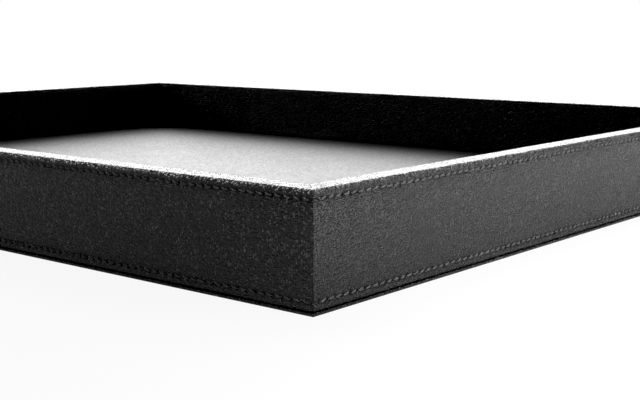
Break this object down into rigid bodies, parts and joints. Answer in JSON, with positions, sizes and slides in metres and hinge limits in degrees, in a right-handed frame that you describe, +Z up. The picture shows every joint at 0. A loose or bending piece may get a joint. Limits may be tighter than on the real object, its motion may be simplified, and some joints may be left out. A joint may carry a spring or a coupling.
{
  "type": "folding dice tray",
  "caption": "Shallow rectangular leather-covered rolling tray whose mitred walls fold out flat on living hinges.",
  "frame": {"origin": "centre of the underside, on the table", "axes": "+X along the long side, +Y along the short side from the front wall to the back wall, +Z up"},
  "size_m": [0.338, 0.263, 0.028],
  "materials": {
    "leather": "satin pebble grain",
    "floor_leather": "satin pebble grain",
    "thread": "waxed thread",
    "felt": "matt",
    "core_board": "raw fibreboard",
    "magnet": "nickel plated"
  },
  "bodies": {
    "base": {"base_skin": "leather", "base_board": "core_board", "floor_pad": "felt", "floor_lining": "floor_leather"},
    "front_wall": {"front_cover": "leather", "front_core": "core_board", "front_lining": "leather", "front_hinge_flap": "leather", "front_left_magnet": "magnet", "front_right_magnet": "magnet", "front_top_stitching": "thread", "front_bottom_stitching": "thread"},
    "right_wall": {"right_cover": "leather", "right_core": "core_board", "right_lining": "leather", "right_hinge_flap": "leather", "right_left_magnet": "magnet", "right_right_magnet": "magnet", "right_top_stitching": "thread", "right_bottom_stitching": "thread"},
    "back_wall": {"back_cover": "leather", "back_core": "core_board", "back_lining": "leather", "back_hinge_flap": "leather", "back_left_magnet": "magnet", "back_right_magnet": "magnet", "back_top_stitching": "thread", "back_bottom_stitching": "thread"},
    "left_wall": {"left_cover": "leather", "left_core": "core_board", "left_lining": "leather", "left_hinge_flap": "leather", "left_left_magnet": "magnet", "left_right_magnet": "magnet", "left_top_stitching": "thread", "left_bottom_stitching": "thread"}
  },
  "joints": [
    {"name": "front_wall_fold", "type": "hinge", "parent": "base", "child": "front_wall", "pos_m": [0, -0.1315, 0.00093], "axis": [1, 0, 0], "range_deg": [0, 91.5]},
    {"name": "right_wall_fold", "type": "hinge", "parent": "base", "child": "right_wall", "pos_m": [0.169, 0, 0.00093], "axis": [0, 1, 0], "range_deg": [0, 91.5]},
    {"name": "back_wall_fold", "type": "hinge", "parent": "base", "child": "back_wall", "pos_m": [0, 0.1315, 0.00093], "axis": [-1, 0, 0], "range_deg": [0, 91.5]},
    {"name": "left_wall_fold", "type": "hinge", "parent": "base", "child": "left_wall", "pos_m": [-0.169, 0, 0.00093], "axis": [0, -1, 0], "range_deg": [0, 91.5]}
  ]
}
